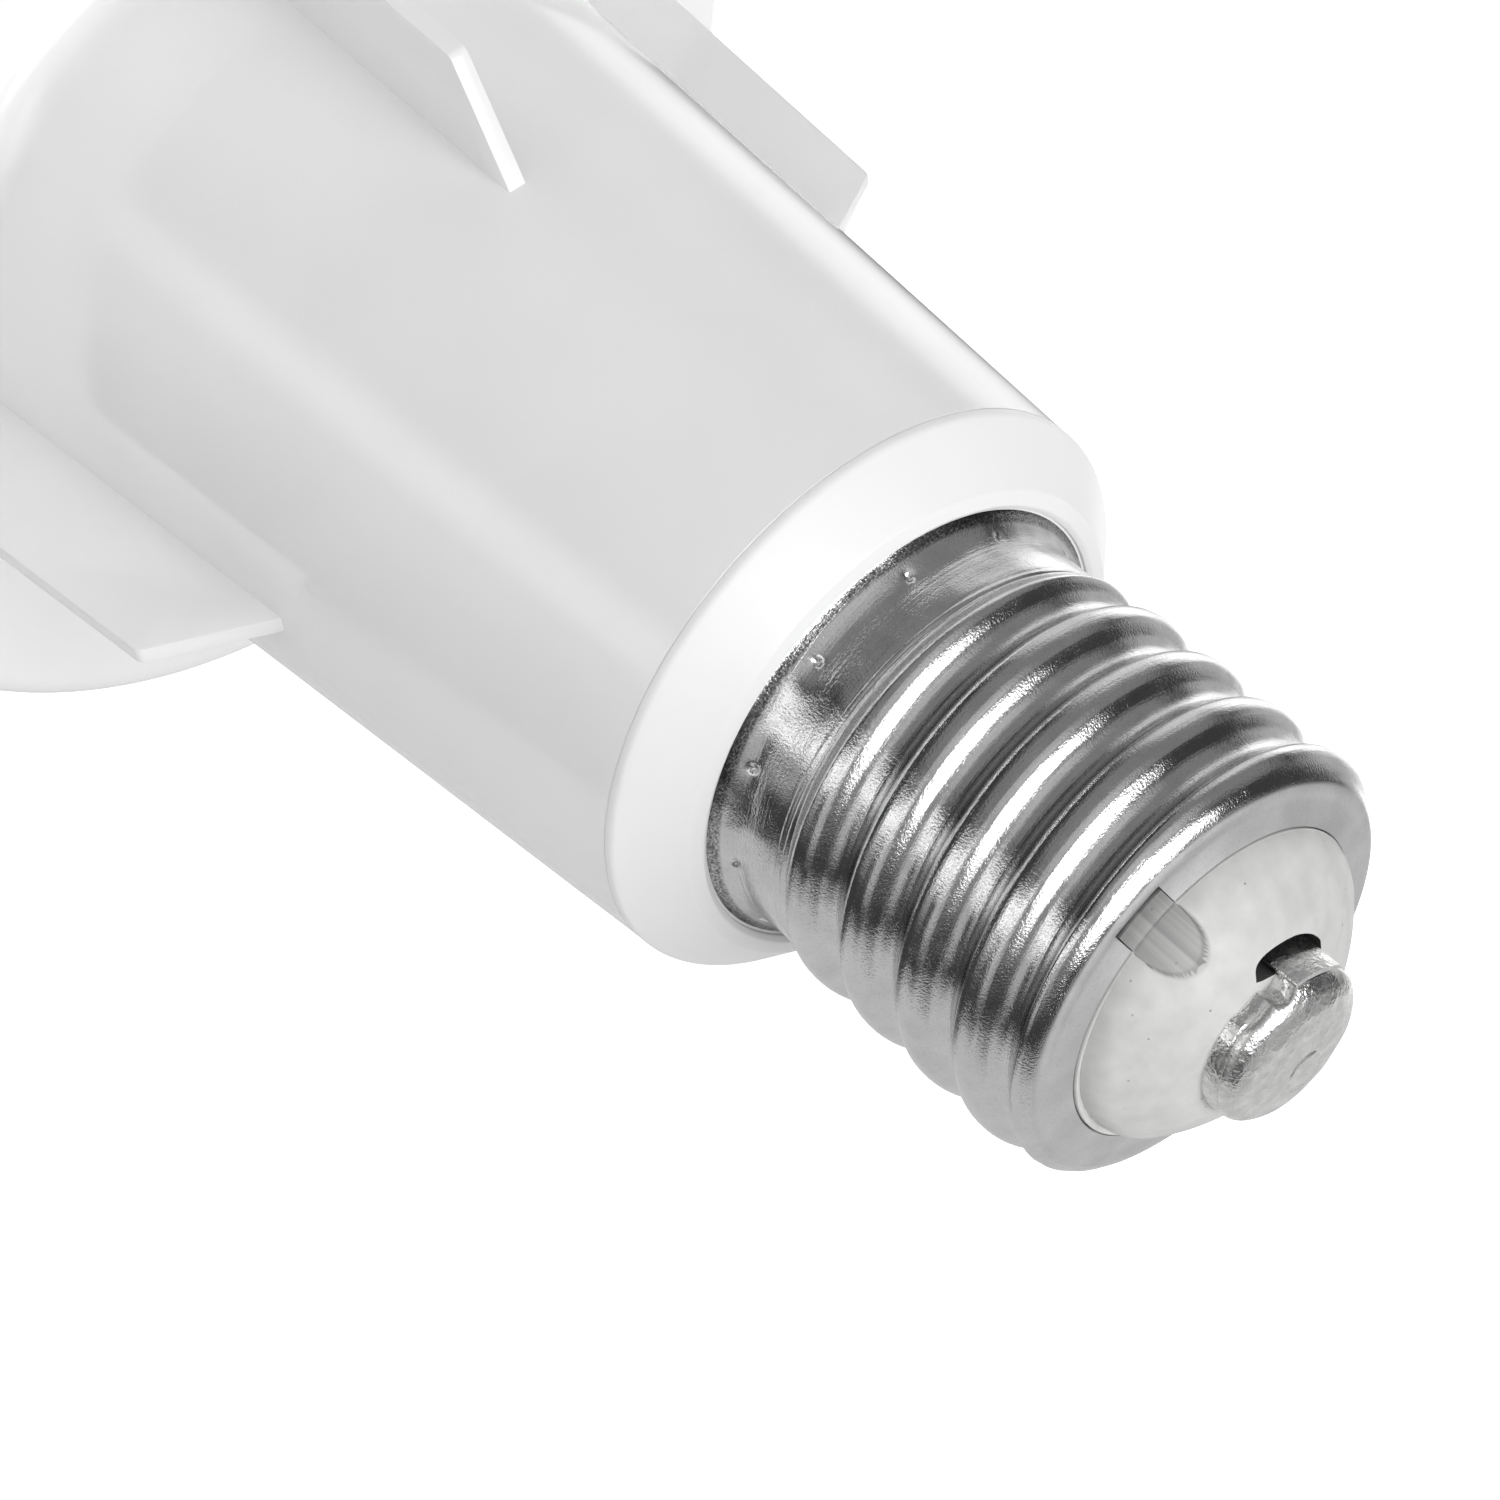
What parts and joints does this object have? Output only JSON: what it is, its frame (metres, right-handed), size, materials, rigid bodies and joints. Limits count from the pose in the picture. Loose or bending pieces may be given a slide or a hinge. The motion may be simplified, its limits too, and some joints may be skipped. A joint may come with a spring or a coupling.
{
  "type": "high power led bulb",
  "caption": "High power LED bulb: large screw cap with ceramic-insulated contact, long white plastic neck with four fins on the shoulder of a round head, and an opal dome diffuser.",
  "frame": {"origin": "centre of the centre contact's outer face, where the bulb meets the bottom of its lampholder", "axes": "+Z along the bulb's axis out of the cap, so the bulb hangs below the origin; +X and +Y point along the fins"},
  "size_m": [0.118, 0.118, 0.2263],
  "materials": {
    "nickel": "nickel plated brass sheet",
    "ceramic": "steatite, matt",
    "solder": "solder-coated brass",
    "collar_plastic": "moulded, semi gloss",
    "housing_plastic": "moulded, gloss",
    "aluminium": "spun",
    "paste": "matt",
    "white_mask": "white solder mask on aluminium",
    "phosphor": "matt",
    "steel": "zinc plated",
    "opal": "opal polycarbonate, satin",
    "silicone": "satin",
    "sleeve_plastic": "moulded",
    "glass_epoxy": "solder mask",
    "black_epoxy": "moulded",
    "blue_epoxy": "dipped",
    "film_case": "moulded",
    "ferrite": "ground",
    "copper_wire": "enamelled copper",
    "winding_tape": "polyester tape",
    "capacitor_sleeve": "shrink sleeve",
    "fuse_metal": "nickel plated end caps",
    "brown_insulation": "extruded",
    "blue_insulation": "extruded",
    "red_insulation": "extruded"
  },
  "bodies": {
    "root": {"screw_shell": "nickel", "cap_insulator": "ceramic", "centre_contact": "solder", "contact_strap": "nickel", "collar": "collar_plastic", "housing": "housing_plastic", "heat_spreader": "aluminium", "thermal_paste": "paste", "led_board": "white_mask", "led_chips": "phosphor", "board_screws": "steel", "board_connector": "sleeve_plastic", "diffuser": "opal", "diffuser_seal": "silicone", "driver_sleeve": "sleeve_plastic", "sleeve_lid": "sleeve_plastic", "driver_board": "glass_epoxy", "line_fuse": "fuse_metal", "surge_varistor": "blue_epoxy", "film_capacitor": "film_case", "choke_core": "ferrite", "choke_winding": "copper_wire", "bridge_rectifier": "black_epoxy", "input_capacitor": "capacitor_sleeve", "power_switch": "black_epoxy", "switch_heatsink": "aluminium", "transformer_core": "ferrite", "transformer_winding": "winding_tape", "output_capacitor": "capacitor_sleeve", "output_diode": "black_epoxy", "control_chip": "black_epoxy", "chip_parts": "black_epoxy", "live_lead": "brown_insulation", "neutral_lead": "blue_insulation", "dc_leads": "red_insulation"}
  },
  "joints": []
}
